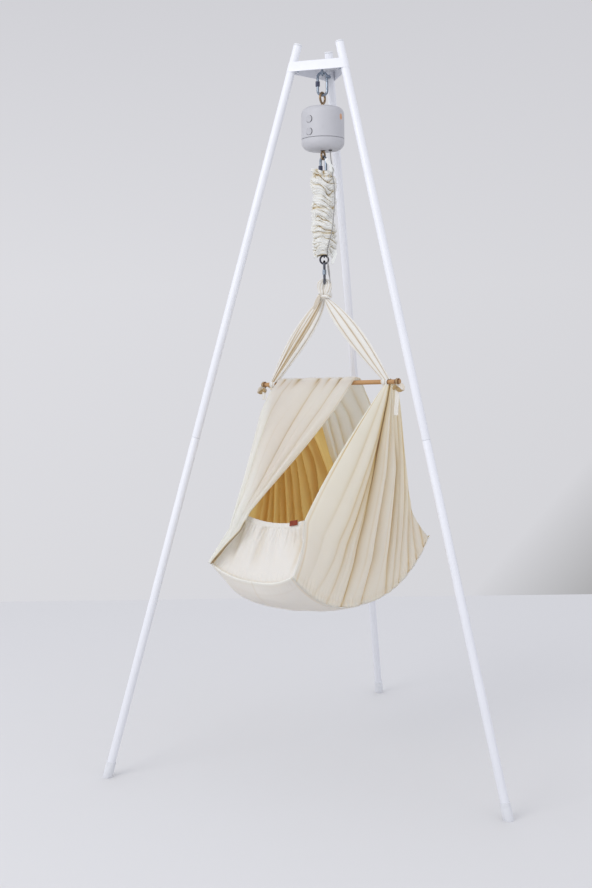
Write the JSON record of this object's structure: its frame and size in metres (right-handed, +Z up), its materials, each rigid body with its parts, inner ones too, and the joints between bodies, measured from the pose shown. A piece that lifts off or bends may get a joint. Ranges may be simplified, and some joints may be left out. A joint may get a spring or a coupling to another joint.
{
  "type": "hanging baby cradle",
  "caption": "Cotton baby cradle hung by a spring and a motor unit under a white steel tripod stand, with a cloth drape over its wooden spreader bar.",
  "frame": {"origin": "on the floor, in the middle of the box round the whole object", "axes": "+Z up, back leg towards +Y, +X to the right seen from the front"},
  "size_m": [1.0938, 0.9928, 1.943],
  "materials": {
    "powder_white": "satin",
    "white_plastic": "satin",
    "zinc_steel": "satin",
    "yellow_zinc": "satin",
    "dark_steel": "satin",
    "housing_grey": "satin",
    "button_grey": "matte",
    "amber_lens": "gloss",
    "black_plastic": "matte",
    "circuit_green": "satin",
    "grey_cord": "matte",
    "cotton": "matte",
    "beech_wood": "satin",
    "brown_leather": "matte"
  },
  "bodies": {
    "stand": {"top_bracket": "powder_white", "hanger_eye_bolt": "zinc_steel", "hanger_nut": "zinc_steel", "bracket_bolt_left": "zinc_steel", "foot_cap_left": "white_plastic", "leg_lower_left": "powder_white", "leg_sleeve_left": "zinc_steel", "leg_upper_left": "powder_white", "leg_top_cap_left": "white_plastic", "bracket_bolt_right": "zinc_steel", "foot_cap_right": "white_plastic", "leg_lower_right": "powder_white", "leg_sleeve_right": "zinc_steel", "leg_upper_right": "powder_white", "leg_top_cap_right": "white_plastic", "bracket_bolt_back": "zinc_steel", "foot_cap_back": "white_plastic", "leg_lower_back": "powder_white", "leg_sleeve_back": "zinc_steel", "leg_upper_back": "powder_white", "leg_top_cap_back": "white_plastic"},
    "top_link": {"top_quick_link": "zinc_steel"},
    "top_nut": {"top_link_nut": "zinc_steel"},
    "motor_unit": {"motor_top_eye": "yellow_zinc", "motor_upper_shell": "housing_grey", "motor_lower_shell": "housing_grey", "indicator_lens": "amber_lens", "power_inlet": "black_plastic", "cord_grommet": "black_plastic", "motor_chassis": "zinc_steel", "gear_motor": "dark_steel", "rod_bushing": "black_plastic", "circuit_board": "circuit_green", "safety_cord": "grey_cord"},
    "upper_button": {"button_upper": "button_grey"},
    "lower_button": {"button_lower": "button_grey"},
    "pinion": {"drive_pinion": "dark_steel"},
    "output": {"output_rod": "yellow_zinc", "middle_quick_link": "zinc_steel", "tension_spring": "dark_steel", "spring_cover": "cotton"},
    "middle_nut": {"middle_link_nut": "zinc_steel"},
    "ring": {"spring_ring": "dark_steel"},
    "bottom_link": {"bottom_quick_link": "zinc_steel"},
    "bottom_nut": {"bottom_link_nut": "zinc_steel"},
    "cradle": {"hanger_loop": "cotton", "strap_knot": "cotton", "spreader_bar": "beech_wood", "strap_bundle_left": "cotton", "strap_bundle_right": "cotton", "bow_tie_left": "cotton", "bow_tie_right": "cotton", "side_panel_left": "cotton", "side_panel_right": "cotton", "cradle_belly": "cotton", "foot_panel": "cotton", "head_panel": "cotton", "mattress": "cotton", "drape": "cotton", "leather_tag": "brown_leather"}
  },
  "joints": [
    {"name": "top_link_sway", "type": "hinge", "parent": "stand", "child": "top_link", "pos_m": [0, -0.13318, 1.8634], "axis": [-0.2698, 0.9629, 0], "range_deg": [-1, 1]},
    {"name": "top_nut_travel", "type": "slide", "parent": "top_link", "child": "top_nut", "axis": [0, 0, 1], "range_m": [0, 0.01]},
    {"name": "motor_sway", "type": "hinge", "parent": "top_link", "child": "motor_unit", "pos_m": [0, -0.13318, 1.8112], "axis": [0.9629, 0.2698, 0], "range_deg": [-1, 1]},
    {"name": "upper_button_press", "type": "slide", "parent": "motor_unit", "child": "upper_button", "axis": [0.3963, 0.9181, 0], "range_m": [0, 0.0015], "stiffness_N_per_m": 400, "springref_m": -0.001},
    {"name": "lower_button_press", "type": "slide", "parent": "motor_unit", "child": "lower_button", "axis": [0.3963, 0.9181, 0], "range_m": [0, 0.0015], "stiffness_N_per_m": 400, "springref_m": -0.001},
    {"name": "output_stroke", "type": "slide", "parent": "motor_unit", "child": "output", "axis": [0, 0, 1], "range_m": [-0.02, 0], "deforming": ["safety_cord"]},
    {"name": "pinion_turn", "type": "hinge", "parent": "motor_unit", "child": "pinion", "pos_m": [-0.00415, -0.11836, 1.715], "axis": [0.9629, 0.2698, 0], "range_deg": [-1, 130]},
    {"name": "middle_nut_travel", "type": "slide", "parent": "output", "child": "middle_nut", "axis": [0, 0, 1], "range_m": [0, 0.01]},
    {"name": "spring_stretch", "type": "slide", "parent": "output", "child": "ring", "axis": [0, 0, 1], "range_m": [-0.12, 0.02], "stiffness_N_per_m": 450, "springref_m": 0.0393, "deforming": ["tension_spring", "spring_cover", "safety_cord"]},
    {"name": "cradle_turn", "type": "hinge", "parent": "ring", "child": "bottom_link", "pos_m": [0, -0.13318, 1.3427], "axis": [0, 0, 1], "range_deg": [-20, 20]},
    {"name": "bottom_nut_travel", "type": "slide", "parent": "bottom_link", "child": "bottom_nut", "axis": [0, 0, 1], "range_m": [0, 0.01]},
    {"name": "cradle_tilt", "type": "hinge", "parent": "bottom_link", "child": "cradle", "pos_m": [0, -0.13318, 1.3132], "axis": [-0.2698, 0.9629, 0], "range_deg": [-1.2, 1.2]}
  ],
  "couplings": [
    {"joint": "pinion_turn", "follows": "output_stroke", "rad_per_m": -111.11}
  ]
}
